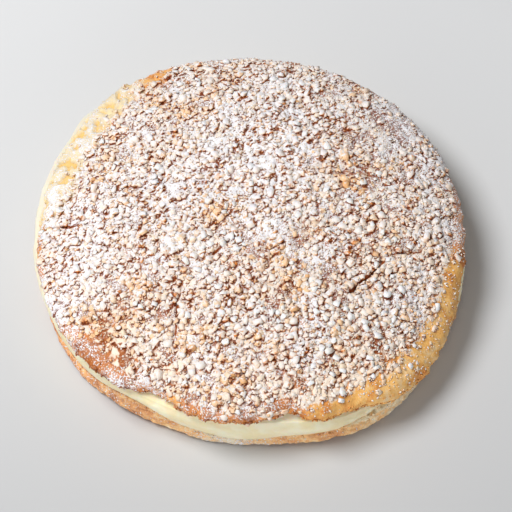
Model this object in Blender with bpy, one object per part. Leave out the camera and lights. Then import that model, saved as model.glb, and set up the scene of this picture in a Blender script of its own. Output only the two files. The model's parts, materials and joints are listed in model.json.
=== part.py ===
"""A whole tarte tropezienne: a round brioche split in two, filled with pastry cream, with pearl sugar on its lid.

Metres, +Z up. The origin is under the middle of the tart, on the surface that it rests on, and the cream shows most
on the -Y side. Three objects lie on each other: the brioche base, the pastry cream and the brioche lid. The largest
grains of the sugar are fused to the lid.
"""

import math
import random

import bmesh
import bpy
from mathutils import Euler, Matrix, Vector, noise
from mathutils.bvhtree import BVHTree

# Thicknesses, from the table up.
BASE_THICKNESS = 0.0100
CREAM_THICKNESS = 0.0165
LID_RISE = 0.0235
REST_GAP = 0.0003  # clearance between two layers that lie on each other

# Edges of the three layers from above: a mean radius, then waves as (lobes, depth, direction of one crest in degrees).
# A wave of one lobe shifts the layer to that side. Bulges are local, as (direction, half width in degrees, height).
BASE_RADIUS = 0.1146
BASE_WAVES = ((1, 0.0020, 170),)
BASE_BULGES = ((-150, 24, 0.0010), (-94, 26, -0.0022), (-57, 28, 0.0042))
CREAM_RADIUS = 0.1142
CREAM_WAVES = ((1, 0.0045, 165), (2, 0.0024, 144))
CREAM_BULGES = ((141, 9, 0.0028), (-68, 18, 0.0026))
LID_RADIUS = 0.1155
LID_WAVES = ((1, 0.0022, -137), (2, 0.0016, -39), (3, 0.0017, -35), (4, 0.0016, 39))
LID_BULGES = ((126, 24, 0.0036), (-20, 34, -0.0024), (-100, 12, 0.0024), (-64, 11, -0.0028))

# Height of the knife's two cuts at the edge, beyond the thicknesses, as (direction, half width in degrees, height).
LOWER_CUT_BULGES = ((-123, 15, 0.0058), (-95, 15, -0.0036), (-47, 12, 0.0030), (-148, 20, -0.0050))
UPPER_CUT_BULGES = ((-42, 46, -0.0105), (150, 60, 0.0010), (60, 40, -0.0008))

# Notches torn into the lid's rim, as (direction, half width in degrees, depth).
RIM_NOTCHES = ((-118, 9, 0.0056), (-82, 8, 0.0050), (122, 6, 0.0012))

# Cross-sections.
BASE_CORNER_DROP = 0.0016  # how far the base's side draws in at its upper edge
BASE_FOOT_INSET = 0.0050  # how far the flat underside ends short of the side
CREAM_ROUNDNESS = 0.0014  # how far the cream's side stands out at half its height
LID_TUCK = 0.0016  # how far the lid's side draws in below its widest line
LID_FLANK = 0.0042  # height of that drawn-in flank
DOME_POWERS = (2.5, 0.56)  # the dome is a superellipse: flat in the middle, steep at the rim

# Relief of the dough, as (depth, length of a swell).
DOME_SWELLS = ((0.0011, 0.036), (0.0005, 0.015))
SIDE_CRAGS = (0.0009, 0.011)

# Pearl sugar: the largest grains only, along a sunflower spiral, so that they are evenly spread.
GRAIN_COUNT = 345
GRAIN_RADII = (0.00165, 0.00255)
GRAIN_CORNERS = 8
GRAIN_LIFT = 0.38  # a grain's middle stands above the crust by this share of its radius
GRAIN_JITTER = 0.0016
GRAIN_SEED = 11
RIM_CLEARANCE = 0.0032  # grains end this far inside the lid's edge
# Bare crust along the rim, as (direction, half width in degrees, further clearance).
BARE_RIMS = ((-36, 44, 0.0105), (-138, 20, 0.0110), (-92, 26, 0.0035), (132, 22, 0.0050))

SEGMENTS = 72
DOME_SHARES = (0.14, 0.30, 0.45, 0.59, 0.71, 0.81, 0.89, 0.95, 0.985)

BRIOCHE_CRUST = ("brioche_crust", (0.62, 0.33, 0.12), 0.62)
BRIOCHE_SIDE = ("brioche_side", (0.66, 0.38, 0.15), 0.70)
PASTRY_CREAM = ("pastry_cream", (0.82, 0.72, 0.42), 0.45)
PEARL_SUGAR = ("pearl_sugar", (0.86, 0.78, 0.66), 0.55)


def waves_at(angle, waves):
    """Sum of the waves at an angle in radians."""
    return sum(depth * math.cos(lobes * (angle - math.radians(crest))) for lobes, depth, crest in waves)


def near(angle, direction, half_width):
    """1 in a direction, falling smoothly to 0 at half_width degrees to either side."""
    off = (math.degrees(angle) - direction + 180) % 360 - 180
    return max(0.0, math.cos(math.radians(min(abs(off) / half_width, 1.0) * 90))) ** 2


def bulges_at(angle, bulges):
    """Sum of the local bulges at an angle in radians."""
    return sum(height * near(angle, direction, half_width) for direction, half_width, height in bulges)


def swell(x, y, depth, length, level=0.0):
    """Smooth relief of a given depth and length, different for each level."""
    return depth * noise.noise(Vector((x / length, y / length, level)))


def polar(radius, angle, z):
    """The point at a radius, an angle and a height."""
    return Vector((radius * math.cos(angle), radius * math.sin(angle), z))


def angles():
    """The directions of one ring's points."""
    return [2 * math.pi * i / SEGMENTS for i in range(SEGMENTS)]


def lower_cut(angle):
    """Height of the cut that the cream lies on, at the tart's edge."""
    return BASE_THICKNESS + bulges_at(angle, LOWER_CUT_BULGES)


def upper_cut(angle):
    """Height of the cut that the lid lies on, at the tart's edge."""
    return BASE_THICKNESS + CREAM_THICKNESS + bulges_at(angle, UPPER_CUT_BULGES)


def base_edge(angle):
    """Largest radius of the base at an angle."""
    return BASE_RADIUS + waves_at(angle, BASE_WAVES) + bulges_at(angle, BASE_BULGES)


def cream_edge(angle):
    """Radius of the cream at an angle, before the roundness of its side."""
    return CREAM_RADIUS + waves_at(angle, CREAM_WAVES) + bulges_at(angle, CREAM_BULGES)


def lid_edge(angle):
    """Largest radius of the lid at an angle, without its notches."""
    return LID_RADIUS + waves_at(angle, LID_WAVES) + bulges_at(angle, LID_BULGES)


def dome(share):
    """Height of the lid's dome as a share of its rise, at a share of the way from its crown to its edge."""
    flatness, roundness = DOME_POWERS
    return (1 - share**flatness) ** roundness


def lid_point(angle, share):
    """A point of the lid's upper side, at an angle and a share of the way from its crown to its widest line."""
    foot = upper_cut(angle) + REST_GAP + LID_FLANK
    crown = BASE_THICKNESS + CREAM_THICKNESS + LID_RISE
    radius = share * lid_edge(angle) - bulges_at(angle, RIM_NOTCHES) * share**12
    x, y = radius * math.cos(angle), radius * math.sin(angle)
    relief = sum(swell(x, y, depth, length) for depth, length in DOME_SWELLS) * (1 - share**6)
    return Vector((x, y, foot + (crown - foot) * dome(share) + relief))


def ring_solid(name, first_pole, rings, last_pole):
    """A closed solid through rings of points, from a pole on its top to a pole on its underside.

    Args:
        name: The object's name.
        first_pole: The top's middle point.
        rings: Lists of SEGMENTS points each, counter-clockwise seen from above, from the top outwards and down.
        last_pole: The underside's middle point.
    """
    bm = bmesh.new()
    top = bm.verts.new(first_pole)
    bottom = bm.verts.new(last_pole)
    rows = [[bm.verts.new(point) for point in ring] for ring in rings]
    for i in range(SEGMENTS):
        j = (i + 1) % SEGMENTS
        bm.faces.new((top, rows[0][i], rows[0][j]))
        for inner, outer in zip(rows, rows[1:]):
            bm.faces.new((inner[i], outer[i], outer[j], inner[j]))
        bm.faces.new((rows[-1][j], rows[-1][i], bottom))
    return finished(name, bm)


def finished(name, bm):
    """Links an object that holds a bmesh, its faces turned outwards."""
    bmesh.ops.recalc_face_normals(bm, faces=bm.faces)
    mesh = bpy.data.meshes.new(name)
    bm.to_mesh(mesh)
    bm.free()
    obj = bpy.data.objects.new(name, mesh)
    bpy.context.scene.collection.objects.link(obj)
    return obj


def material(name, colour, roughness):
    """A plain Principled BSDF."""
    made = bpy.data.materials.new(name)
    made.use_nodes = True
    shader = made.node_tree.nodes["Principled BSDF"]
    shader.inputs["Base Color"].default_value = (*colour, 1)
    shader.inputs["Roughness"].default_value = roughness
    shader.inputs["Metallic"].default_value = 0
    return made


def smooth(obj, crease_degrees):
    """Shades an object smooth, apart from edges sharper than crease_degrees."""
    obj.data.shade_smooth()
    obj.data.set_sharp_from_angle(angle=math.radians(crease_degrees))


def make_base():
    """The lower half of the brioche: a flat underside, a rounded browned side and the knife's cut on top."""
    # Steps down the side, as (share of the height, how far in from the widest line).
    steps = ((1.0, BASE_CORNER_DROP), (0.74, 0.0003), (0.36, 0.0), (0.09, 0.0017), (0.0, BASE_FOOT_INSET))
    rings = []
    for share, inset in steps:
        ring = []
        for angle in angles():
            radius = base_edge(angle) - inset
            if share > 0:
                around = radius * angle
                radius += swell(around, share * SIDE_CRAGS[1], *SIDE_CRAGS, level=3.0) * share
            ring.append(polar(radius, angle, share * lower_cut(angle)))
        rings.append(ring)
    base = ring_solid("brioche_base", Vector((0, 0, BASE_THICKNESS)), rings, Vector((0, 0, 0)))
    base.data.materials.append(material(*BRIOCHE_SIDE))
    smooth(base, 50)
    return base


def make_cream():
    """The filling: one thick layer of pastry cream between the two cuts, its side bulging softly."""
    # Steps down the side, as (share of the height, share of the roundness).
    steps = ((1.0, -0.6), (0.80, 0.55), (0.50, 1.0), (0.20, 0.55), (0.0, -0.6))
    rings = []
    for share, roundness in steps:
        ring = []
        for angle in angles():
            low, high = lower_cut(angle) + REST_GAP, upper_cut(angle)
            radius = cream_edge(angle) + roundness * CREAM_ROUNDNESS
            radius += swell(radius * angle, share * 0.01, 0.0010, 0.019, level=7.0)
            ring.append(polar(radius, angle, low + share * (high - low)))
        rings.append(ring)
    low = Vector((0, 0, BASE_THICKNESS + REST_GAP))
    cream = ring_solid("pastry_cream", Vector((0, 0, BASE_THICKNESS + CREAM_THICKNESS)), rings, low)
    cream.data.materials.append(material(*PASTRY_CREAM))
    smooth(cream, 60)
    return cream


def make_lid_crust():
    """The upper half of the brioche without its sugar: a dome with a torn rim, flat where it was cut."""
    rings = [[lid_point(angle, share) for angle in angles()] for share in (*DOME_SHARES, 1.0)]
    # Steps down the drawn-in flank, as (share of its height, share of its inset).
    for share, inset in ((0.45, 0.25), (0.0, 1.0)):
        ring = []
        for angle in angles():
            radius = lid_edge(angle) - bulges_at(angle, RIM_NOTCHES) - inset * LID_TUCK
            radius += swell(radius * angle, 0.0, *SIDE_CRAGS, level=5.0) * 0.8
            ring.append(polar(radius, angle, upper_cut(angle) + REST_GAP + share * LID_FLANK))
        rings.append(ring)
    crown = lid_point(0.0, 0.0)
    cut = Vector((0, 0, BASE_THICKNESS + CREAM_THICKNESS + REST_GAP))
    lid = ring_solid("brioche_lid", crown, rings, cut)
    lid.data.materials.append(material(*BRIOCHE_CRUST))
    return lid


def sugar_limit(angle):
    """Share of the way to the lid's edge where the sugar ends, at an angle."""
    bare = RIM_CLEARANCE + sum(depth * near(angle, direction, width) for direction, width, depth in BARE_RIMS)
    return 1 - bare / lid_edge(angle)


def sugar_places(lid, draws):
    """Where the grains sit: (point of the crust, its outward direction), evenly spread along a sunflower spiral."""
    golden_angle = math.pi * (3 - math.sqrt(5))
    crust = BVHTree.FromObject(lid, bpy.context.evaluated_depsgraph_get())
    for i in range(GRAIN_COUNT):
        share = math.sqrt((i + 0.5) / GRAIN_COUNT)
        angle = i * golden_angle
        radius = share * sugar_limit(angle) * lid_edge(angle)
        above = polar(radius, angle, 1.0)
        above.x += draws.uniform(-1, 1) * GRAIN_JITTER
        above.y += draws.uniform(-1, 1) * GRAIN_JITTER
        place, normal, _, _ = crust.ray_cast(above, Vector((0, 0, -1)))
        yield place, normal


def make_grain(place, normal, draws, collection, finish):
    """One nugget of pearl sugar: the hull of a few points spread over a stretched ball, set into the crust."""
    radius = draws.uniform(*GRAIN_RADII)
    golden_angle = math.pi * (3 - math.sqrt(5))
    bm = bmesh.new()
    for i in range(GRAIN_CORNERS):
        height = 1 - (2 * i + 1) / GRAIN_CORNERS
        corner = polar(math.sqrt(1 - height * height), i * golden_angle, height)
        bm.verts.new(corner * radius * draws.uniform(0.88, 1.15))
    bmesh.ops.convex_hull(bm, input=bm.verts)
    stretch = Matrix.Diagonal((draws.uniform(0.95, 1.35), draws.uniform(0.85, 1.1), draws.uniform(0.8, 1.0)))
    turn = Euler([draws.uniform(0, 2 * math.pi) for _ in range(3)]).to_matrix()
    bm.transform((turn @ stretch).to_4x4())
    bm.transform(Matrix.Translation(place + normal * radius * GRAIN_LIFT))
    bmesh.ops.recalc_face_normals(bm, faces=bm.faces)
    mesh = bpy.data.meshes.new("grain")
    bm.to_mesh(mesh)
    bm.free()
    mesh.materials.append(finish)
    collection.objects.link(bpy.data.objects.new("grain", mesh))


def fuse_sugar(lid):
    """Joins the grains to the lid with one Boolean union, and removes the loose ones."""
    draws = random.Random(GRAIN_SEED)
    finish = material(*PEARL_SUGAR)
    grains = bpy.data.collections.new("pearl_sugar")
    bpy.context.scene.collection.children.link(grains)
    for place, normal in sugar_places(lid, draws):
        make_grain(place, normal, draws, grains, finish)
    union = lid.modifiers.new("sugar", "BOOLEAN")
    union.operation = "UNION"
    union.operand_type = "COLLECTION"
    union.collection = grains
    union.solver = "EXACT"
    union.material_mode = "TRANSFER"
    graph = bpy.context.evaluated_depsgraph_get()
    fused = bpy.data.meshes.new_from_object(lid.evaluated_get(graph))
    lid.modifiers.remove(union)
    bare = lid.data
    lid.data = fused
    lid.data.name = "brioche_lid"
    bpy.data.meshes.remove(bare)
    for grain in list(grains.objects):
        bpy.data.objects.remove(grain)
    bpy.data.collections.remove(grains)


def main():
    for obj in list(bpy.data.objects):
        bpy.data.objects.remove(obj)
    make_base()
    make_cream()
    lid = make_lid_crust()
    fuse_sugar(lid)
    smooth(lid, 35)


main()
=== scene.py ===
"""The looks of a tarte tropezienne, built round its CAD model: brioche, cream, pearl sugar and icing sugar.

Everything is in metres, +Z up, with the origin under the middle of the tart. Angles are in degrees where
they are written down as a design value, and in radians where a function works with them.
"""

import json
import logging
import math
from dataclasses import dataclass
from enum import Enum, IntEnum
from itertools import product
from typing import Any, Iterable

import bmesh
import bpy
import numpy as np
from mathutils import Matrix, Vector, noise

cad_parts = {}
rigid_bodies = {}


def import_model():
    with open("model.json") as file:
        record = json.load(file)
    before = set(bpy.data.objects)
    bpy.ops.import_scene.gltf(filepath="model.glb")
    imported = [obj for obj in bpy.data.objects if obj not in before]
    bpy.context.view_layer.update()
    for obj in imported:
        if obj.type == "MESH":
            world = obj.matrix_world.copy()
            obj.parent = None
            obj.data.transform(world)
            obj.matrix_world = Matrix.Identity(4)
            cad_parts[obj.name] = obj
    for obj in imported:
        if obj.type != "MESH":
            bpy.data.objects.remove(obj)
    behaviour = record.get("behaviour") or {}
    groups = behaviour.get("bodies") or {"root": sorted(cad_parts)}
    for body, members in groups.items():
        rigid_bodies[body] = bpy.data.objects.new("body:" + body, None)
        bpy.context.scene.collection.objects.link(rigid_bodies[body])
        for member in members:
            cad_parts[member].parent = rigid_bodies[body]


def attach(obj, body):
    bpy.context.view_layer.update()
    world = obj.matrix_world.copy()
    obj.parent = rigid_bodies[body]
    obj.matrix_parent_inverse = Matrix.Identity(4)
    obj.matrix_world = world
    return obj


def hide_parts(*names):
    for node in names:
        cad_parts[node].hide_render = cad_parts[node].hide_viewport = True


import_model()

LOG = logging.getLogger("tarte")
BODY = "root"
PAINTED_LIGHT_AND_SIFT_FROM = (-0.55, 0.55, 0.63)  # direction from the tart to the painted light and to where the icing sugar was sifted from; what turns or hides from it gets painted shade
LEAST_OPEN = 0.25  # share of that side which even a surface turned away from it is taken to see
UNDERSIDE_MASKS = {"bake": 0.3, "open": 1.0}  # masks of the lid's cut; the others are 0 there

HASH_FACTORS = (73856093, 19349663, 83492791)  # for a lattice cell's x, y and z
HASH_SEED_FACTOR = 2654435761
HASH_STIR = 1274126177
HASH_BITS, LOW_BITS = 0x7FFFFFFF, 0xFFFF
LATTICE_GAIN = 1.6  # brings lattice noise to about -1 to 1

Wave = tuple[int, float, float]  # lobes round the edge, depth, direction of one crest in degrees
Bulge = tuple[float, float, float]  # direction and half width in degrees, height
Colour = tuple[float, float, float]
Array = np.ndarray
Material = bpy.types.Material
Mesh = bpy.types.Mesh
Node = bpy.types.Node
Object = bpy.types.Object
Socket = bpy.types.NodeSocket
Tree = bpy.types.NodeTree


# Curves and relief --------------------------------------------------------------------------------


def near(angle: Array, direction: float, half_width: float) -> Array:
    """Tells how near angles lie to a direction.

    Args:
        angle: Angles in radians.
        direction: The direction in degrees.
        half_width: How far the nearness reaches to either side, in degrees.

    Returns:
        1 in the direction, falling smoothly to 0 at half_width to either side.
    """
    off = (np.degrees(angle) - direction + 180) % 360 - 180
    return np.cos(np.radians(np.minimum(np.abs(off) / half_width, 1.0) * 90)) ** 2


def waves_at(angle: Array, waves: Iterable[Wave]) -> Array:
    """Sum of the waves at angles in radians."""
    each = (depth * np.cos(lobes * (angle - math.radians(crest))) for lobes, depth, crest in waves)
    return sum(each, 0 * angle)


def bulges_at(angle: Array, bulges: Iterable[Bulge]) -> Array:
    """Sum of the local bulges at angles in radians."""
    return sum((height * near(angle, direction, width) for direction, width, height in bulges), 0 * angle)


def smoothstep(value: Array, low: float, high: float) -> Array:
    """0 below low, 1 above high, and an even turn between them; low may be the larger one."""
    share = np.clip((value - low) / (high - low), 0, 1)
    return share * share * (3 - 2 * share)


def lattice_noise(places: Array, length: float, seed: int) -> Array:
    """Smooth gradient noise.

    Args:
        places: Points, as an array whose last axis holds x, y and z in metres.
        length: Length of one swell in metres.
        seed: Which pattern.

    Returns:
        Values from about -1 to 1, one for each point.
    """
    scaled = places / length
    cell = np.floor(scaled).astype(np.int64)
    inside = scaled - cell
    fade = inside**3 * (inside * (inside * 6 - 15) + 10)
    total = np.zeros(places.shape[:-1])
    for corner in product((0, 1), repeat=3):
        x, y, z = np.moveaxis((cell + np.array(corner)) * np.array(HASH_FACTORS), -1, 0)
        mixed = x ^ y ^ z ^ (seed * HASH_SEED_FACTOR)
        mixed = ((mixed ^ (mixed >> 13)) * HASH_STIR) & HASH_BITS
        turn = (mixed & LOW_BITS) / LOW_BITS * 2 * math.pi
        rise = ((mixed >> 15) & LOW_BITS) / LOW_BITS * 2 - 1
        flat = np.sqrt(1 - rise * rise)
        gradient = np.stack([flat * np.cos(turn), flat * np.sin(turn), rise], -1)
        weight = np.where(np.array(corner, bool), fade, 1 - fade).prod(-1)
        total += weight * (gradient * (inside - np.array(corner))).sum(-1)
    return total * LATTICE_GAIN


def layered_noise(places: Array, length: float, seed: int, layers: int = 3) -> Array:
    """Noise of several lengths, each half as long and half as strong as the one before."""
    return sum(lattice_noise(places, length / 2**i, seed + i) / 2**i for i in range(layers))


def swells(x: Array, y: Array, depth: float, length: float) -> Array:
    """The dough's smooth relief, the same as in the CAD model."""
    flat = [noise.noise(Vector((a / length, b / length, 0.0))) for a, b in zip(x.ravel(), y.ravel())]
    return depth * np.array(flat).reshape(x.shape)


@dataclass(frozen=True)
class Edge:
    """A layer's edge seen from above: a mean radius, waves round it and local bulges."""

    radius: float
    waves: tuple[Wave, ...]
    bulges: tuple[Bulge, ...]

    def at(self, angle: Array) -> Array:
        """Radius at angles in radians."""
        return self.radius + waves_at(angle, self.waves) + bulges_at(angle, self.bulges)


@dataclass(frozen=True)
class Cuts:
    """The knife's two cuts through the brioche, which the cream lies between."""

    base_thickness: float = 0.0100
    cream_thickness: float = 0.0165
    lower_bulges: tuple[Bulge, ...] = (
        (-123, 15, 0.0058),
        (-95, 15, -0.0036),
        (-47, 12, 0.0030),
        (-148, 20, -0.0050),
    )
    upper_bulges: tuple[Bulge, ...] = ((-42, 46, -0.0105), (150, 60, 0.0010), (60, 40, -0.0008))
    gap: float = 0.0003

    def lower(self, angle: Array) -> Array:
        """Height of the base's cut at the tart's edge."""
        return self.base_thickness + bulges_at(angle, self.lower_bulges)

    def upper(self, angle: Array) -> Array:
        """Height of the lid's cut at the tart's edge."""
        return self.base_thickness + self.cream_thickness + bulges_at(angle, self.upper_bulges)


@dataclass(frozen=True)
class Patch:
    """A soft round patch of the lid seen from above."""

    x: float
    y: float
    radius: float
    amount: float = 1.0

    def at(self, x: Array, y: Array) -> Array:
        """The patch's amount at points: full in its middle, gone past about twice its radius."""
        return self.amount * np.exp(-((x - self.x) ** 2 + (y - self.y) ** 2) / self.radius**2)


def patches(*rows: tuple[float, ...]) -> tuple[Patch, ...]:
    """Patches from rows of x, y and radius in millimetres and, where it isn't 1, the amount."""
    return tuple(Patch(x / 1000, y / 1000, radius / 1000, *amount) for x, y, radius, *amount in rows)


def patches_at(several: Iterable[Patch], x: Array, y: Array) -> Array:
    """Sum of several patches' amounts at points."""
    return sum((patch.at(x, y) for patch in several), 0 * x)


@dataclass(frozen=True)
class Crack:
    """A crack in the lid's crust, from one point seen from above to another."""

    start: tuple[float, float]
    end: tuple[float, float]
    depth: float
    width: float

    def at(self, x: Array, y: Array, wander: Array) -> Array:
        """Depth of the crack at points.

        Args:
            x: The points' x.
            y: The points' y.
            wander: How far the crack strays sideways at each point.

        Returns:
            The depth at each point, 0 away from the crack.
        """
        run = np.array(self.end) - np.array(self.start)
        length = np.hypot(*run)
        along = ((x - self.start[0]) * run[0] + (y - self.start[1]) * run[1]) / length
        across = ((y - self.start[1]) * run[0] - (x - self.start[0]) * run[1]) / length + wander
        opens = smoothstep(along, -0.1 * length, 0.15 * length)
        closes = smoothstep(along, 1.1 * length, 0.8 * length)
        return self.depth * (opens * closes) * np.exp(-((across / self.width) ** 2))


# Meshes -------------------------------------------------------------------------------------------


def make_mesh(name: str, points: Array, faces: list[tuple[int, ...]]) -> Mesh:
    """A smooth-shaded mesh.

    Args:
        name: The mesh's name.
        points: Its points, one to a row.
        faces: The points of each face, by number.

    Returns:
        The mesh.
    """
    mesh = bpy.data.meshes.new(name)
    mesh.from_pydata(points.tolist(), [], faces)
    mesh.shade_smooth()
    mesh.update()
    return mesh


def make_object(name: str, data: bpy.types.ID) -> Object:
    """Puts an object into the scene.

    Args:
        name: The object's name.
        data: The mesh, camera or lamp that it holds.

    Returns:
        The object.
    """
    obj = bpy.data.objects.new(name, data)
    bpy.context.scene.collection.objects.link(obj)
    return obj


def set_mask(mesh: Mesh, name: str, values: Array) -> None:
    """Stores one number for each of a mesh's points, which its material or a node tree reads by name."""
    attribute = mesh.attributes.new(name, "FLOAT", "POINT")
    attribute.data.foreach_set("value", values.astype(np.float32))


def ring_faces(rows: int, around: int, first: int = 0) -> list[tuple[int, ...]]:
    """Quads between rings of points that follow each other, from the top outwards and down.

    Args:
        rows: How many rings.
        around: How many points each has.
        first: Number of the first ring's first point.

    Returns:
        The points of each quad, by number.
    """
    faces = []
    for row in range(rows - 1):
        for i in range(around):
            j = (i + 1) % around
            here, below = first + row * around, first + (row + 1) * around
            faces.append((here + i, below + i, below + j, here + j))
    return faces


def closed_rings(name: str, top: Array, rings: Array, bottom: Array) -> Mesh:
    """A closed mesh through rings of points.

    Args:
        name: The mesh's name.
        top: The pole above the first ring.
        rings: Points, as rings x points x 3, counter-clockwise seen from above, from the top outwards and
            down.
        bottom: The pole below the last ring.

    Returns:
        The mesh. Its first point is the top pole and its last one the bottom pole.
    """
    rows, around, _ = rings.shape
    points = np.vstack([top, rings.reshape(-1, 3), bottom])
    last = 1 + (rows - 1) * around
    faces = [(0, 1 + i, 1 + (i + 1) % around) for i in range(around)]
    faces += ring_faces(rows, around, 1)
    faces += [(last + (i + 1) % around, last + i, len(points) - 1) for i in range(around)]
    return make_mesh(name, points, faces)


def grid_normals(points: Array) -> Array:
    """Unit normals of a grid of points.

    Args:
        points: The points, as rows x columns x 3.

    Returns:
        The way down the rows crossed with the way along them, at a length of 1, for each point.
    """
    down, across = np.gradient(points, axis=(0, 1))
    normals = np.cross(down, across)
    return normals / np.maximum(np.linalg.norm(normals, axis=-1, keepdims=True), 1e-12)


def ring_normals(rings: Array) -> Array:
    """Unit normals, facing out, of rings of points that close on themselves."""
    wrapped = np.concatenate([rings[:, -1:], rings, rings[:, :1]], axis=1)
    return grid_normals(wrapped)[:, 1:-1]


def painted_light_and_sift_share(normals: Array) -> Array:
    """Share of the side of the painted light and the sifted icing sugar which smooth surfaces see, by their
    normals; painted shade is measured against it.
    """
    return np.clip((1 + normals @ np.array(PAINTED_LIGHT_AND_SIFT_FROM)) / 2, LEAST_OPEN, 1)


# Node trees ---------------------------------------------------------------------------------------


class Graph:
    """A node tree under construction."""

    CREVICE_RAYS = 6
    SHELTER_RAYS = 8
    DRIFTS = ((0.0042, 1.40), (0.020, 0.60))  # length and strength of the noise that makes the painted shade uneven
    RAGGEDNESS = 0.9

    def __init__(self, tree: Tree) -> None:
        """Starts on a tree."""
        self.tree = tree

    def add(self, kind: str, feeds: dict[Any, Any] | None = None, **settings: Any) -> Node:
        """Adds a node.

        Args:
            kind: The node's type.
            feeds: Value or incoming socket for each input, by the input's name or index.
            **settings: The node's own settings.

        Returns:
            The node.
        """
        node = self.tree.nodes.new(kind)
        for name, value in settings.items():
            setattr(node, name, value)
        for key, value in (feeds or {}).items():
            self.feed(node, key, value)
        return node

    def feed(self, node: Node, key: Any, value: Any) -> None:
        """Links a socket to an input, or sets the input's value.

        Args:
            node: The node that has the input.
            key: The input's name or index.
            value: The socket or the value.
        """
        if isinstance(value, Socket):
            self.tree.links.new(value, node.inputs[key])
        else:
            node.inputs[key].default_value = value

    def calc(self, operation: str, *values: Any) -> Socket:
        """The result of a Math node on one to three values or sockets."""
        return self.add("ShaderNodeMath", dict(enumerate(values)), operation=operation).outputs[0]

    def spread(self, value: Any, low: Any, high: Any, start: float = 0.0, end: float = 1.0) -> Socket:
        """Maps low..high evenly onto start..end, clamped, with soft ends."""
        feeds = {"Value": value, "From Min": low, "From Max": high, "To Min": start, "To Max": end}
        return self.add("ShaderNodeMapRange", feeds, interpolation_type="SMOOTHSTEP").outputs["Result"]

    def blend(self, share: Any, first: Any, second: Any) -> Socket:
        """A colour between two others.

        Args:
            share: How much of the second, from 0 to 1.
            first: A socket or a plain colour.
            second: Another one.

        Returns:
            The mixed colour.
        """
        ends = [(*end, 1) if isinstance(end, tuple) else end for end in (first, second)]
        node = self.add("ShaderNodeMix", {0: share, 6: ends[0], 7: ends[1]}, data_type="RGBA")
        return node.outputs[2]

    def group(self, tree: Tree, **feeds: Any) -> Any:
        """The outputs of a node group that is placed in the tree."""
        return self.add("ShaderNodeGroup", feeds, node_tree=tree).outputs

    def mask(self, name: str) -> Socket:
        """A mask that the mesh carries."""
        return self.add("ShaderNodeAttribute", attribute_name=name).outputs["Fac"]

    def place(self) -> Socket:
        """The point of the surface in the object's own coordinates."""
        return self.add("ShaderNodeTexCoord").outputs["Object"]

    def dot(self, vector: Any, other: Any) -> Socket:
        """The dot product of two vectors."""
        node = self.add("ShaderNodeVectorMath", {0: vector, 1: other}, operation="DOT_PRODUCT")
        return node.outputs["Value"]

    def scaled(self, vector: Any, factor: Any) -> Socket:
        """A vector times a number."""
        node = self.add("ShaderNodeVectorMath", {0: vector, "Scale": factor}, operation="SCALE")
        return node.outputs["Vector"]

    def bump(self, shader: Node, strength: float, distance: float, height: Any) -> None:
        """Roughens a surface by a height, of which 1 stands for a distance in metres."""
        feeds = {"Strength": strength, "Distance": distance, "Height": height}
        self.feed(shader, "Normal", self.add("ShaderNodeBump", feeds).outputs["Normal"])

    def named(self, name: Any) -> Socket:
        """A number that the geometry carries."""
        kind = "GeometryNodeInputNamedAttribute"
        return self.add(kind, {"Name": name}, data_type="FLOAT").outputs[0]

    def stored(self, geometry: Any, name: str, value: Any, domain: str = "POINT") -> Socket:
        """The geometry with a number stored on it.

        Args:
            geometry: The geometry.
            name: The number's name.
            value: The number.
            domain: What each number belongs to.

        Returns:
            The geometry that carries it.
        """
        feeds = {"Geometry": geometry, "Name": name, "Value": value}
        kind = "GeometryNodeStoreNamedAttribute"
        return self.add(kind, feeds, data_type="FLOAT", domain=domain).outputs[0]

    def moved(self, geometry: Any, offset: Any) -> Socket:
        """The geometry with its points moved."""
        return self.add("GeometryNodeSetPosition", {"Geometry": geometry, "Offset": offset}).outputs[0]

    def grain(self, place: Any, length: float, detail: float = 2.0, roughness: float = 0.55) -> Socket:
        """Noise from 0 to 1 whose swells have a given length in metres."""
        feeds = {"Vector": place, "Scale": 1 / length, "Detail": detail, "Roughness": roughness}
        return self.add("ShaderNodeTexNoise", feeds).outputs[0]

    def crevice(self, reach: float, shallow: float, deep: float) -> Socket:
        """How deep in a crevice the surface lies.

        Args:
            reach: How far off the walls of a crevice may stand, in metres.
            shallow: Openness at which a crevice begins, from 0 to 1.
            deep: Openness at which it is as deep as it gets.

        Returns:
            0 in the open to 1 deep in a crevice.
        """
        rays = self.add("ShaderNodeAmbientOcclusion", {"Distance": reach}, samples=self.CREVICE_RAYS)
        return self.spread(rays.outputs["AO"], shallow, deep)

    def shelter(self, place: Any, reach: float, plain: Any, clear: float, hidden: float) -> Socket:
        """Painted shade: how far the surface is hidden from the side of the painted light and the sifted
        sugar, more in some places.

        Args:
            place: The point of the surface.
            reach: How far off what hides it may stand, in metres.
            plain: The share of that side which the crust would see if it were smooth.
            clear: Share of it, against the smooth crust's, at which the surface begins to be hidden.
            hidden: Share at which it is hidden altogether.

        Returns:
            0 in full view of that side to 1 behind a grain.
        """
        side = self.add("ShaderNodeCombineXYZ", dict(enumerate(PAINTED_LIGHT_AND_SIFT_FROM))).outputs["Vector"]
        feeds = {"Distance": reach, "Normal": side}
        seen = self.add("ShaderNodeAmbientOcclusion", feeds, samples=self.SHELTER_RAYS).outputs["AO"]
        shade_unevenness = [
            self.calc("MULTIPLY_ADD", self.grain(place, length, 1.0), strength, -strength / 2)
            for length, strength in self.DRIFTS
        ]
        share = self.calc("ADD", self.calc("DIVIDE", seen, plain), self.calc("ADD", *shade_unevenness))
        return self.spread(share, clear, hidden)

    def ragged(self, mask: Socket, grain: Socket) -> Socket:
        """A mask whose edge strays with a noise from 0 to 1."""
        return self.calc("MULTIPLY_ADD", self.calc("SUBTRACT", grain, 0.5), self.RAGGEDNESS, mask)

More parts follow.
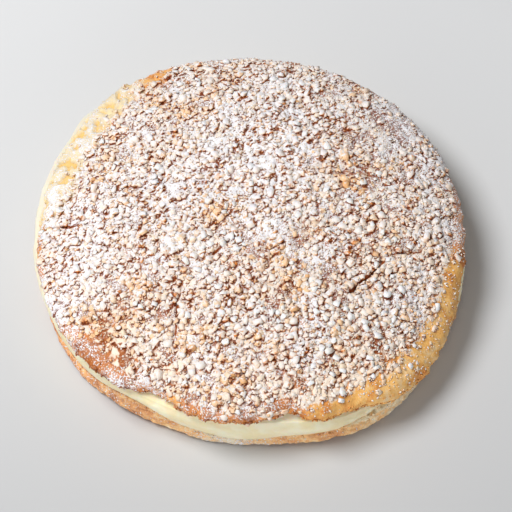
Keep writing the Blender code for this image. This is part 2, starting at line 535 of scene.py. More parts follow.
    def ramp(self, share: Any, stops: Iterable[tuple[float, Colour]]) -> Socket:
        """A colour read from stops along 0 to 1.

        Args:
            share: Where to read it.
            stops: Position and colour of each stop.

        Returns:
            The colour.
        """
        node = self.add("ShaderNodeValToRGB", {"Fac": share})
        elements = node.color_ramp.elements
        for i, (position, colour) in enumerate(stops):
            element = elements[i] if i < 2 else elements.new(position)
            element.position = position
            element.color = (*colour, 1)
        return node.outputs["Color"]


def group_sockets(tree: Tree, direction: str, **kinds: str) -> None:
    """Declares a node group's inputs or outputs.

    Args:
        tree: The node group.
        direction: INPUT or OUTPUT.
        **kinds: The kind of each socket, by the socket's name.
    """
    for name, kind in kinds.items():
        tree.interface.new_socket(name, in_out=direction, socket_type=f"NodeSocket{kind}")


class ShaderKit:
    """The shader node groups that several finishes share, built once."""

    FINE_SHARE, BROAD_SHARE, AMOUNT_SHARE = 1.50, 0.30, 0.60  # parts of the level that icing sugar shows at
    SHOWING = (1.14, 1.26)  # level at which a speckle begins to show, and at which it covers
    FILM = 0.24  # most that the thin film covers
    HOLD_OVER = 0.6  # turn past the least one at which a face holds all of its sugar
    MOTTLE_MEAN = 1.4  # mean of clouds, blisters and pores together

    def __init__(self) -> None:
        """Builds the groups."""
        self.facing = self._sifted_side()
        self.icing = self._icing_veil()
        self.mottle = self._baked_mottle()

    @staticmethod
    def _sifted_side() -> Tree:
        """How far a face turns towards the side of the painted light and the sifted icing sugar, from -1 to
        1.

        Returns:
            The group.
        """
        tree = bpy.data.node_groups.new("sifted_side", "ShaderNodeTree")
        group_sockets(tree, "OUTPUT", Facing="Float")
        graph = Graph(tree)
        normal = graph.add("ShaderNodeNewGeometry").outputs["Normal"]
        graph.add("NodeGroupOutput", {"Facing": graph.dot(normal, PAINTED_LIGHT_AND_SIFT_FROM)})
        return tree

    @staticmethod
    def _icing_veil() -> Tree:
        """Icing sugar that was sifted on: a film and speckles, which close into a veil as the amount rises.

        Its inputs are the place, the amount from 0 to 1, the speckles to a metre, how far the face turns to
        the side of the painted light and the sifted sugar, and the least turn that holds sugar; faces turned
        away hold less icing, which is partly painted shade. It puts out how far the sugar covers what is
        under it, and its height.

        Returns:
            The group.
        """
        kit = ShaderKit
        tree = bpy.data.node_groups.new("icing_veil", "ShaderNodeTree")
        inputs = {"Amount": "Float", "Fineness": "Float", "Facing": "Float", "Least": "Float"}
        group_sockets(tree, "INPUT", Place="Vector", **inputs)
        group_sockets(tree, "OUTPUT", Cover="Float", Height="Float")
        graph = Graph(tree)
        given = graph.add("NodeGroupInput").outputs
        feeds = {"Vector": given["Place"], "Scale": given["Fineness"], "Detail": 1.5, "Roughness": 0.6}
        fine = graph.add("ShaderNodeTexNoise", feeds).outputs[0]
        speckle = graph.calc("MULTIPLY", fine, kit.FINE_SHARE)
        broad = graph.calc("MULTIPLY", graph.grain(given["Place"], 0.0055, 3.0, 0.6), kit.BROAD_SHARE)
        amount = graph.calc("MULTIPLY", given["Amount"], kit.AMOUNT_SHARE)
        level = graph.calc("ADD", graph.calc("ADD", speckle, broad), amount)
        film = graph.spread(given["Amount"], 0.1, 0.8, 0.0, kit.FILM)
        cover = graph.calc("MAXIMUM", graph.spread(level, *kit.SHOWING), film)
        # faces turned away from the painted light hold less icing: sifted sugar settling and painted shade
        # together
        held = graph.spread(given["Facing"], given["Least"], graph.calc("ADD", given["Least"], kit.HOLD_OVER))
        cover = graph.calc("MULTIPLY", cover, held)
        graph.add("NodeGroupOutput", {"Cover": cover, "Height": graph.calc("MULTIPLY", cover, fine)})
        return tree

    @staticmethod
    def _baked_mottle() -> Tree:
        """The uneven browning of baked dough: pores, blisters and broad clouds round a mean of 0.

        Returns:
            The group.
        """
        tree = bpy.data.node_groups.new("baked_mottle", "ShaderNodeTree")
        group_sockets(tree, "INPUT", Place="Vector", Strength="Float")
        group_sockets(tree, "OUTPUT", Tone="Float", Height="Float")
        graph = Graph(tree)
        given = graph.add("NodeGroupInput").outputs
        clouds = graph.grain(given["Place"], 0.018, 3.0)
        blisters = graph.grain(given["Place"], 0.0026, 3.0, 0.6)
        pores = graph.grain(given["Place"], 0.0007, 2.0, 0.6)
        mixed = graph.calc("ADD", blisters, graph.calc("MULTIPLY", pores, 0.8))
        mixed = graph.calc("SUBTRACT", graph.calc("ADD", clouds, mixed), ShaderKit.MOTTLE_MEAN)
        tone = graph.calc("MULTIPLY", mixed, given["Strength"])
        height = graph.calc("ADD", blisters, graph.calc("MULTIPLY", pores, 0.5))
        graph.add("NodeGroupOutput", {"Tone": tone, "Height": height})
        return tree


def new_material(name: str, roughness: float, specular: float) -> tuple[Material, Graph, Node]:
    """Starts a material.

    Args:
        name: The material's name.
        roughness: Its roughness.
        specular: Its specular level.

    Returns:
        The material, its graph and its Principled BSDF.
    """
    material = bpy.data.materials.new(name)
    material.use_nodes = True
    shader = material.node_tree.nodes["Principled BSDF"]
    shader.inputs["Roughness"].default_value = roughness
    shader.inputs["Specular IOR Level"].default_value = specular
    return material, Graph(material.node_tree), shader


def set_glow(shader: Node, weight: float, length: float, reach: Colour) -> None:
    """Lets light into a surface: how much of it, how far in metres, and each colour's share of that way."""
    for name, value in (("Weight", weight), ("Scale", length), ("Radius", reach)):
        shader.inputs[f"Subsurface {name}"].default_value = value


# Finishes -----------------------------------------------------------------------------------------


@dataclass(frozen=True)
class CrustFinish:
    """Browned brioche with icing sugar on it, torn open to its crumb in places. Painted shade makes it
    darker, browner and bare of icing and melted sugar in crevices, where it is partly caramelised, and on
    sides hidden from the painted light.

    Its mesh carries the masks that it reads: bake, from 0 for pale to 1 for dark crust, crumb, where it is
    torn open, pit, the crumb's hollows, dust, the icing sugar, melt, the sugar that melted on it, and open,
    the share of the side of the painted light and the sifted sugar that the smooth surface sees.
    """

    name: str
    crumb: Colour = (0.865, 0.710, 0.440)
    crumb_pit: Colour = (0.830, 0.555, 0.200)
    pale: Colour = (0.930, 0.810, 0.570)
    golden: Colour = (0.985, 0.550, 0.162)
    brown: Colour = (0.720, 0.252, 0.054)
    dark: Colour = (0.270, 0.056, 0.006)
    melted: Colour = (0.960, 0.800, 0.650)
    icing: Colour = (0.920, 0.905, 0.930)
    roughness: float = 0.62
    mottling: float = 0.42
    relief: float = 0.0005
    crevice_reach: float = 0.0014
    # how much crevices are browned: partly caramelised, partly painted shade
    crevice_tone: float = 0.35
    least_facing: float = -0.60
    # strength of the painted shade on sides hidden from the painted light
    lee: float = 1.0
    specular: float = 0.35
    crevice_edges: tuple[float, float] = (0.88, 0.25)
    # reach, edges and browning of that painted shade
    shelter_reach: float = 0.0019
    shelter_edges: tuple[float, float] = (0.65, 0.40)
    shelter_tone: float = 0.40
    fineness: float = 1150.0

    def material(self, kit: ShaderKit) -> Material:
        """Builds the material.

        Args:
            kit: The shared shader groups.

        Returns:
            The material.
        """
        material, graph, shader = new_material(self.name, self.roughness, self.specular)
        place = graph.place()
        mottle = graph.group(kit.mottle, Place=place, Strength=self.mottling)
        crevice = graph.crevice(self.crevice_reach, *self.crevice_edges)
        lee = graph.shelter(place, self.shelter_reach, graph.mask("open"), *self.shelter_edges)
        lee = graph.calc("MULTIPLY", lee, self.lee)
        # painted shade: crevices, partly caramelised, and sides hidden from the painted light are browned
        # darker
        bake = graph.calc("ADD", graph.mask("bake"), mottle["Tone"])
        bake = graph.calc("ADD", bake, graph.calc("MULTIPLY", crevice, self.crevice_tone))
        bake = graph.calc("MULTIPLY_ADD", lee, self.shelter_tone, bake)
        crust = graph.ramp(bake, [(0.0, self.pale), (0.3, self.golden), (0.62, self.brown), (1.0, self.dark)])
        # painted shade: crevices in the crumb take its pit colour, as its real pits do
        hollow = graph.calc("MULTIPLY_ADD", crevice, 0.5, graph.mask("pit"))
        inside = graph.blend(graph.spread(hollow, 0.15, 0.95), self.crumb, self.crumb_pit)
        torn = graph.ragged(graph.mask("crumb"), graph.grain(place, 0.0030, 3.0))
        crust = graph.blend(graph.spread(torn, 0.30, 0.55), crust, inside)
        patchy = graph.ragged(graph.mask("melt"), graph.grain(place, 0.0016))
        # painted shade: melted sugar is taken away in crevices and on the hidden sides
        patchy = graph.calc("SUBTRACT", patchy, graph.calc("MULTIPLY", crevice, 0.45))
        patchy = graph.calc("SUBTRACT", patchy, graph.calc("MULTIPLY", lee, 0.6))
        crust = graph.blend(graph.spread(patchy, 0.25, 0.60), crust, self.melted)
        feeds = {"Amount": graph.mask("dust"), "Fineness": self.fineness, "Least": self.least_facing}
        facing = graph.group(kit.facing)["Facing"]
        veil = graph.group(kit.icing, Place=place, Facing=facing, **feeds)
        # painted shade: icing is cleared from crevices and from the sides hidden from the painted light
        bare = graph.calc("MULTIPLY_ADD", crevice, 0.30, graph.calc("MULTIPLY", lee, 0.90))
        cover = graph.calc("MULTIPLY", veil["Cover"], graph.spread(bare, 0.0, 1.0, 1.0, 0.0))
        graph.feed(shader, "Base Color", graph.blend(cover, crust, self.icing))
        height = graph.calc("ADD", mottle["Height"], veil["Height"])
        graph.bump(shader, 0.7, self.relief, height)
        return material


@dataclass(frozen=True)
class SugarFinish:
    """Pearl sugar: chalky on top, caramelised where it touches the crust, under a veil of icing sugar;
    painted shade turns its crevices and the sides hidden from the painted light orange-brown and dark brown.
    """

    name: str
    chalk: Colour = (0.920, 0.825, 0.745)
    toasted: Colour = (0.970, 0.618, 0.350)
    # colours of the sides in painted shade, orange-brown then dark brown, added to real browning at the foot
    caramel: Colour = (0.800, 0.265, 0.040)
    scorch: Colour = (0.215, 0.036, 0.004)
    icing: Colour = (0.900, 0.868, 0.895)
    veil: float = 0.86
    caramel_height: float = 0.0010
    roughness: float = 0.55
    crevice_reach: float = 0.0012
    glow: float = 0.28
    glow_length: float = 0.0007
    glow_reach: Colour = (1.0, 0.85, 0.70)
    specular: float = 0.4
    toast_share: float = 0.75
    crevice_edges: tuple[float, float] = (0.82, 0.38)
    shelter_edges: tuple[float, float] = (0.61, 0.40)
    # depths at which painted shade, with real browning at the foot, turns the sides each colour
    toasted_depths: tuple[float, float] = (0.08, 0.27)
    caramel_depths: tuple[float, float] = (0.23, 0.46)
    scorch_depths: tuple[float, float] = (0.45, 0.68)
    fineness: float = 1100.0
    least_facing: float = 0.10

    def material(self, kit: ShaderKit) -> Material:
        """Builds the material.

        Args:
            kit: The shared shader groups.

        Returns:
            The material.
        """
        material, graph, shader = new_material(self.name, self.roughness, self.specular)
        place = graph.place()
        warmth = graph.calc("MULTIPLY", graph.mask("toast"), self.toast_share)
        warmth = graph.calc("ADD", warmth, graph.mask("warmth"))
        rough = graph.calc("SUBTRACT", graph.grain(place, 0.0012, 2.0), 0.5)
        top = graph.blend(graph.spread(warmth, 0.35, 1.25), self.chalk, self.toasted)
        lift = graph.calc("ADD", graph.mask("lift"), graph.calc("MULTIPLY", rough, 0.0012))
        reach = graph.calc("MAXIMUM", graph.calc("ADD", warmth, 0.45), 0.1)
        reach = graph.calc("MULTIPLY", reach, self.caramel_height)
        foot = graph.spread(graph.calc("SUBTRACT", 1.0, graph.calc("DIVIDE", lift, reach)), 0.0, 1.0)
        # painted shade: crevices and sides hidden from the painted light darken towards dark brown, on top of
        # the foot's real browning
        crevice = graph.crevice(self.crevice_reach, *self.crevice_edges)
        lee = graph.shelter(place, self.crevice_reach * 1.6, graph.mask("open"), *self.shelter_edges)
        low = graph.calc("MAXIMUM", foot, crevice)
        painted_wall_shade = graph.calc("MULTIPLY", lee, graph.calc("MULTIPLY_ADD", low, 0.58, 0.46))
        depth = graph.calc("MULTIPLY_ADD", low, 0.15, painted_wall_shade)
        depth = graph.calc("MULTIPLY", depth, graph.spread(warmth, -0.8, 0.1, 0.35, 1.0))
        sides = top
        for depths, colour in (
            (self.toasted_depths, self.toasted),
            (self.caramel_depths, self.caramel),
            (self.scorch_depths, self.scorch),
        ):
            sides = graph.blend(graph.spread(depth, *depths), sides, colour)
        raised = graph.spread(lift, -0.0002, 0.0010, 0.0, self.veil)
        amount = graph.calc("MULTIPLY", graph.mask("dust"), raised)
        feeds = {"Amount": amount, "Fineness": self.fineness, "Least": self.least_facing}
        facing = graph.group(kit.facing)["Facing"]
        cover = graph.group(kit.icing, Place=place, Facing=facing, **feeds)["Cover"]
        # painted shade also clears the icing from the darkened sides
        cover = graph.calc("MULTIPLY", cover, graph.spread(depth, 0.0, 0.7, 1.0, 0.0))
        graph.feed(shader, "Base Color", graph.blend(cover, sides, self.icing))
        set_glow(shader, self.glow, self.glow_length, self.glow_reach)
        graph.bump(shader, 0.6, 0.0005, graph.grain(place, 0.0009))
        return material


@dataclass(frozen=True)
class CreamFinish:
    """Pastry cream: pale yellow and softly glossy, with painted light: paler and less yellow on the lamp-lit
    -X side towards +Y.
    """

    name: str
    light: Colour = (0.975, 0.893, 0.645)
    deep: Colour = (0.940, 0.805, 0.500)
    # painted light: the paler, less yellow cream on the -X side towards +Y, its way and where it begins and
    # ends
    dried: Colour = (0.890, 0.830, 0.695)
    drying: tuple[float, float, float] = (-1.0, 0.45, 0.0)
    drying_over: tuple[float, float] = (0.085, 0.130)
    roughness: float = 0.42
    glow: float = 0.35
    glow_length: float = 0.0025
    glow_reach: Colour = (1.0, 0.7, 0.35)
    specular: float = 0.4

    def material(self, kit: ShaderKit) -> Material:
        """Builds the material.

        Args:
            kit: The shared shader groups.

        Returns:
            The material.
        """
        material, graph, shader = new_material(self.name, self.roughness, self.specular)
        place = graph.place()
        clouds = graph.spread(graph.grain(place, 0.011, 3.0), 0.38, 0.62)
        soft = graph.blend(clouds, self.light, self.deep)
        # painted light: paler, less yellow cream on the lamp-lit side
        painted_lit = graph.spread(graph.dot(place, self.drying), *self.drying_over, 0.0, 0.9)
        soft = graph.blend(painted_lit, soft, self.dried)
        graph.feed(shader, "Base Color", soft)
        set_glow(shader, self.glow, self.glow_length, self.glow_reach)
        fine = graph.calc("MULTIPLY", graph.grain(place, 0.0008), 0.3)
        height = graph.calc("ADD", graph.grain(place, 0.0030), fine)
        graph.bump(shader, 0.35, 0.0004, height)
        return material


# The three layers ---------------------------------------------------------------------------------


@dataclass
class LidCrust:
    """The upper half of the brioche without its sugar: a wide dome with a torn rim."""

    cuts: Cuts
    edge: Edge = Edge(
        0.1155,
        ((1, 0.0022, -137), (2, 0.0016, -39), (3, 0.0017, -35), (4, 0.0016, 39)),
        (
            (126, 24, 0.0036),
            (152, 28, 0.0026),
            (182, 24, 0.0012),
            (-20, 34, -0.0024),
            (-100, 12, 0.0024),
            (-64, 11, -0.0028),
        ),
    )
    notches: tuple[Bulge, ...] = ((-118, 9, 0.0056), (-82, 8, 0.0050), (122, 6, 0.0012))
    rise: float = 0.0232
    flank: float = 0.0042
    tuck: float = 0.0016
    flatness: float = 2.5
    roundness: float = 0.56
    broad_swells: tuple[tuple[float, float], ...] = ((0.0011, 0.036), (0.0005, 0.015))
    melt_height: float = 0.0014
    torn_side: tuple[float, float] = (152, 39)  # direction and half width in degrees
    torn_from: tuple[float, float] = (0.73, 0.85)  # way from the crown at which the crumb begins to show
    red_patch: Patch = Patch(-0.083, -0.079, 0.016)  # thinly sugared, browner crust
    grey_patch: Patch = Patch(0.076, 0.064, 0.020)  # crust under icing sugar alone
    cells: int = 304
    profile_steps: int = 800
    cut_rings: tuple[float, ...] = (0.04, 0.5)  # way of the rings on the cut from its edge to its middle
    cracks: tuple[Crack, ...] = (
        Crack((-0.118, -0.001), (-0.090, -0.003), 0.0022, 0.0008),
        Crack((-0.111, -0.054), (-0.098, -0.048), 0.0018, 0.0007),
        Crack((0.046, -0.047), (0.068, -0.025), 0.0028, 0.0011),
        Crack((0.073, -0.022), (0.090, -0.018), 0.0018, 0.0009),
        Crack((-0.056, 0.088), (-0.040, 0.100), 0.0014, 0.0008),
        Crack((-0.084, 0.070), (-0.070, 0.079), 0.0016, 0.0010),
        Crack((-0.064, -0.012), (-0.056, 0.003), 0.0018, 0.0008),
        Crack((-0.030, -0.030), (-0.014, -0.016), 0.0018, 0.0008),
        Crack((-0.042, -0.072), (-0.040, -0.040), 0.0020, 0.0009),
        Crack((-0.088, -0.013), (-0.078, -0.017), 0.0016, 0.0007),
    )
    bare_rims: tuple[Bulge, ...] = (
        (-36, 48, 0.0085),
        (-138, 24, 0.0055),
        (-92, 26, -0.0010),
        (-70, 24, 0.0026),
        (120, 9, 0.0040),
        (146, 44, 0.0125),
        (8, 14, 0.0040),
    )
    thin_patches: tuple[Patch, ...] = patches(
        (-84, -79, 12), (-60, -97, 8, 0.5), (-26, -105, 10, 0.6), (10, -105, 8, 0.5), (104, -4, 10, 0.8),
        (76, 64, 20, 0.95), (70, 36, 8, 0.7), (94, 27, 11, 0.7), (-60, 20, 7, 0.5), (-100, 28, 14, 0.6),
    )
    warm_patches: tuple[Patch, ...] = patches(
        (-22, 4, 12, 1.1), (50, 28, 16, 1.1), (12, -26, 16, 0.8), (18, -48, 12, 0.5), (-20, -97, 18, 0.6),
        (-81, -59, 18, 0.5), (-76, 34, 16, 0.8), (-40, 62, 16, 0.4), (80, -60, 30, 0.1),
        (-52, -68, 24, 0.35),
    )
    white_patches: tuple[Patch, ...] = patches(
        (71, -56, 12), (32, -70, 14), (34, 85, 5), (56, 22, 8), (-63, 32, 7), (-58, -53, 6), (60, -88, 6),
        (-13, -109, 4), (10, -58, 6),
    )
    dusty_patches: tuple[Patch, ...] = patches(
        (-92, -18, 26, 0.38), (-83, 12, 26, 0.25), (2, 48, 28, 0.72), (94, 27, 14, 0.28),
        (79, 60, 20, 0.14), (-75, -92, 9, 0.18), (78, -54, 15, 0.55), (-62, 60, 14, 0.30), (4, 4, 24, 0.42),
        (85, -79, 34, -0.50), (38, -98, 20, -0.36), (-58, 98, 10, -0.40), (-83, -78, 22, -0.45),
        (-43, 10, 16, 0.55), (-26, 33, 14, 0.35), (-94, -50, 16, 0.35), (104, -4, 14, 0.30),
        (90, 45, 16, 0.12), (26, -70, 12, 0.15), (57, -87, 12, -0.25), (-24, -104, 22, -0.05),
        (12, -108, 20, -0.08), (77, -84, 12, -0.10),
    )
    baked_patches: tuple[Patch, ...] = patches(
        (86, 60, 30, 0.30), (-53, 98, 14, -0.20), (-10, -108, 26, 0.12), (-76, -94, 12, 0.18),
        (63, -94, 14, 0.07),
    )

    def dome(self, share: Array) -> Array:
        """Height of the dome as a share of its rise, at a share of the way from its crown to its edge."""
        return (1 - share**self.flatness) ** self.roundness

    def _along_profile(self, way: Array) -> tuple[Array, Array]:
        """Turns an even way down the lid's profile into its two stretches.

        Args:
            way: 0 at the crown to 1 at the cut, even along the profile.

        Returns:
            The share of the way from the crown to the widest line, and the share of the flank below it.
        """
        shares = 1 - (1 - np.linspace(0, 1, self.profile_steps)) ** 2
        outwards, down = np.diff(shares) * self.edge.radius, np.diff(self.dome(shares)) * self.rise
        steps = np.hypot(outwards, down)
        passed = np.concatenate([[0], np.cumsum(steps)])
        walked = way * (passed[-1] + self.flank)
        return np.interp(walked, passed, shares), np.clip((walked - passed[-1]) / self.flank, 0, 1)

    def _disc(self) -> tuple[Array, Array]:
        """A square grid of points that is pressed into a disc with even cells.

        Returns:
            The points' way from the middle, at 0, to the edge, at 1, and their angle in radians.
        """
        line = np.linspace(-1, 1, self.cells)
        across, up = np.meshgrid(line, line)
        wide = np.abs(across) > np.abs(up)
        way = np.where(wide, across, up)
        safe = np.where(way == 0, 1, way)
        turn = np.where(wide, np.pi / 4 * up / safe, np.pi / 2 - np.pi / 4 * across / safe)
        return np.abs(way), np.where(way < 0, turn + np.pi, turn)

    def _surface(self, way: Array, angle: Array) -> Array:
        """Points of the lid's plain form, without its fine relief.

        Args:
            way: Their way down the profile, from 0 at the crown to 1 at the cut.
            angle: Their angle in radians.

        Returns:
            Their x, y and z.
        """
        share, below = self._along_profile(way)
        cut = self.cuts.upper(angle) + self.cuts.gap
        foot = cut + self.flank
        crown = self.cuts.base_thickness + self.cuts.cream_thickness + self.rise
        notched = bulges_at(angle, self.notches) * share**12
        radius = share * self.edge.at(angle) - notched - self.tuck * below**2.3
        x, y = radius * np.cos(angle), radius * np.sin(angle)
        relief = sum(swells(x, y, depth, length) for depth, length in self.broad_swells) * (1 - share**6)
        z = foot + (crown - foot) * self.dome(share) + relief - self.flank * below
        return np.stack([x, y, z], -1)

    @staticmethod
    def _rubble(points: Array) -> Array:
        """Height of the melted sugar's lumps, from 0 in the thin clefts between them to 1 on their tops."""
        cells = np.abs(lattice_noise(points, 0.0058, 19)) + 0.35 * np.abs(lattice_noise(points, 0.0030, 20))
        return np.clip(cells * 2.6, 0, 1) ** 0.9

    def _relief(self, points: Array, way: Array, angle: Array, covered: Array) -> Array:
        """How far the crust stands out: lumps, melted sugar, blisters, cracks, a torn rim and its crumb.

        Args:
            points: Points of the plain form.
            way: Their way down the profile, from 0 at the crown to 1 at the cut.
            angle: Their angle in radians.
            covered: How far the melted sugar covers them.

        Returns:
            The height over the plain form at each point.
        """
        x, y = points[..., 0], points[..., 1]
        lumps = 0.00055 * layered_noise(points, 0.016, 1)
        blisters = 0.00035 * layered_noise(points, 0.0052, 5, 4)
        wander = 0.0016 * lattice_noise(points, 0.006, 11)
        cracked = sum(crack.at(x, y, wander) for crack in self.cracks)
        rim = smoothstep(way, 0.90, 0.99)
        torn = rim * (0.0014 * layered_noise(points, 0.0065, 17) - 0.0011)
        open_crumb = self._crumb(way, angle)
        crumb = open_crumb * (0.0007 * layered_noise(points, 0.0045, 27) - 0.0005)
        crumb -= open_crumb * 0.0024 * self._pits(points)
        level = 0.25 * layered_noise(points, 0.010, 29)
        melted = covered * (self._rubble(points) - 0.9 + level) * self.melt_height
        return lumps * (1 - rim * 0.6) + blisters + melted - cracked + torn + crumb

    @staticmethod
    def _pits(points: Array) -> Array:
        """Where the torn crumb has pits."""
        return smoothstep(layered_noise(points, 0.0062, 23), 0.08, 0.34)

    def _crumb(self, way: Array, angle: Array) -> Array:
        """Where the rim is torn open to its pale crumb."""
        return near(angle, *self.torn_side) ** 0.5 * smoothstep(way, *self.torn_from)

    def _masks(self, points: Array, way: Array, angle: Array) -> dict[str, Array]:
        """The masks at points of the lid.

        Args:
            points: Points of the plain form.
            way: Their way down the profile, from 0 at the crown to 1 at the cut.
            angle: Their angle in radians.

        Returns:
            By name, what the finishes read, where melted sugar covers the crust, and the densities of what is
            strewn: sugar, white, bits and crumbs.
        """
        x, y = points[..., 0], points[..., 1]
        share, below = self._along_profile(way)
        fringe = 0.0035 * layered_noise(points, 0.012, 31)
        bare = 0.0030 + bulges_at(angle, self.bare_rims) + fringe
        inwards = (1 - share) * self.edge.radius
        soft = 0.0010 + 0.0070 * near(angle, -40, 62)
        covered = smoothstep(inwards, bare - soft, bare + soft)
        thin = np.clip(patches_at(self.thin_patches, x, y), 0, 1)
        gaps = smoothstep(layered_noise(points, 0.011, 37), 0.20, 0.42)
        cracked = smoothstep(sum(crack.at(x, y, 0 * x) for crack in self.cracks), 0.0009, 0.0018)
        gaps = np.clip(thin + gaps * 0.8, 0, 0.96)
        stray = 0.10 * smoothstep(inwards, 0.001, 0.004)
        sugar = np.maximum(covered, stray) * (1 - gaps) * (1 - cracked)
        warm = patches_at(self.warm_patches, x, y)
        dust = 0.56 - 0.22 * warm + patches_at(self.dusty_patches, x, y)
        dust = dust + 0.34 * layered_noise(points, 0.017, 41)
        bare_flank = 0.60 * near(angle, -28, 70) * smoothstep(share, 0.86, 0.96)
        bare_flank += 0.14 * near(angle, -95, 55) * smoothstep(share, 0.94, 0.99)
        bare_flank += 0.30 * near(angle, 178, 30) * smoothstep(share, 0.94, 0.99)
        crumb, pits = self._crumb(way, angle), self._pits(points)
        golden = near(angle, -44, 74) * smoothstep(share, 0.78, 0.93)
        golden = np.maximum(golden, 0.62 * near(angle, -95, 60) * smoothstep(share, 0.88, 0.98))
        red = self.red_patch.at(x, y)
        bake = 0.74 - 0.50 * golden - 0.40 * crumb - 0.17 * red
        bake += 0.10 * layered_noise(points, 0.010, 43)
        bake += patches_at(self.baked_patches, x, y)
        bake += 0.30 * cracked + 0.24 * gaps
        flank = 0.25 * near(angle, -35, 60) * (1 - covered)
        bits = smoothstep(inwards, -0.001, 0.004) * (0.24 + 0.08 * covered + 0.68 * gaps + flank)
        bits *= 1 - 0.95 * crumb
        bits *= (1 - 0.7 * red) * (1 - 0.5 * self.grey_patch.at(x, y))
        crumbs = smoothstep(below, 0.0, 0.3) + smoothstep(inwards, 0.0025, 0.0) * 0.5
        crumbs *= 0.15 + near(angle, -95, 75)
        clusters = np.clip(patches_at(self.white_patches, x, y), 0, 1)
        white = sugar * np.clip(0.14 + 0.9 * layered_noise(points, 0.012, 47) + 1.2 * clusters, 0.05, 1)
        warmth = warm + 0.75 * layered_noise(points, 0.016, 53)
        return {
            "bake": bake,
            "dust": dust - (0.24 + 0.30 * pits) * crumb - 0.2 * below - bare_flank - 0.8 * cracked,
            "melt": covered * (self._rubble(points) - 0.9 * cracked) * (1 - 0.75 * gaps) * (1 - crumb),
            "crumb": crumb,
            "pit": pits * crumb,
            "warmth": warmth - 0.9 * crumb,
            "covered": covered,
            "sugar": sugar,
            "white": white,
            "bits": bits,
            "crumbs": np.clip(crumbs, 0, 1),
        }

    def build(self) -> Mesh:
        """Builds the crust.

        Returns:
            A closed mesh with its masks.
        """
        way, angle = self._disc()
        plain = self._surface(way, angle)
        normals = grid_normals(plain)
        normals *= np.sign(normals[self.cells // 2, self.cells // 2, 2])
        masks = self._masks(plain, way, angle)
        masks["open"] = painted_light_and_sift_share(normals)
        top = plain + normals * self._relief(plain, way, angle, masks.pop("covered"))[..., None]
        index = np.arange(self.cells**2).reshape(self.cells, self.cells)
        corners = (index[:-1, :-1], index[:-1, 1:], index[1:, 1:], index[1:, :-1])
        faces = np.stack(corners, -1).reshape(-1, 4).tolist()
        outline = np.concatenate([index[0, :-1], index[:-1, -1], index[-1, :0:-1], index[:0:-1, 0]])
        points = [top.reshape(-1, 3)]
        middle = np.array([0, 0, self.cuts.base_thickness + self.cuts.cream_thickness + self.cuts.gap])
        ring, count = outline, self.cells**2
        for inwards in self.cut_rings:
            points.append(points[0][outline] * (1 - inwards) + middle * inwards)
            inner = np.arange(count, count + len(outline))
            faces += np.stack([ring, inner, np.roll(inner, -1), np.roll(ring, -1)], -1).tolist()
            ring, count = inner, count + len(outline)
        faces += [(a, count, b) for a, b in zip(ring, np.roll(ring, -1))]
        mesh = make_mesh("brioche_lid_crust", np.vstack([*points, middle]), faces)
        for name, values in masks.items():
            padding = np.full(len(mesh.vertices) - self.cells**2, UNDERSIDE_MASKS.get(name, 0.0))
            set_mask(mesh, name, np.concatenate([values.ravel(), padding]))
        return mesh


@dataclass
class CreamLayer:
    """The pastry cream between the two cuts, whose side bulges softly, smoothed with a palette knife."""

    cuts: Cuts
    edge: Edge = Edge(
        0.1142,
        ((1, 0.0045, 165), (2, 0.0024, 144)),
        ((141, 9, 0.0028), (-68, 18, 0.0026)),
    )
    bulge: float = 0.0014
    around: int = 900
    rows: int = 22

    def build(self) -> Mesh:
        """Builds the layer.

        Returns:
            A closed mesh.
        """
        angle = np.linspace(0, 2 * np.pi, self.around, endpoint=False)[None]
        share = np.linspace(1, 0, self.rows)[:, None]
        low, high = self.cuts.lower(angle) + self.cuts.gap, self.cuts.upper(angle)
        bulge = (1 - np.abs(2 * share - 1) ** 2.2) * 1.6 - 0.6
        radius = self.edge.at(angle) + bulge * self.bulge
        z = low + share * (high - low)
        plain = np.stack([radius * np.cos(angle), radius * np.sin(angle), z + 0 * angle], -1)
        stretched = plain * np.array([1, 1, 2.2])
        relief = 0.0006 * layered_noise(stretched, 0.017, 61)
        relief = relief + 0.00018 * layered_noise(plain, 0.0045, 67) - 0.0006
        relief *= 1 - np.abs(2 * share - 1) ** 6
        rings = plain + ring_normals(plain) * relief[..., None]
        top = np.array([0, 0, self.cuts.base_thickness + self.cuts.cream_thickness])
        bottom = np.array([0, 0, self.cuts.base_thickness + self.cuts.gap])
        return closed_rings("pastry_cream_layer", top, rings, bottom)


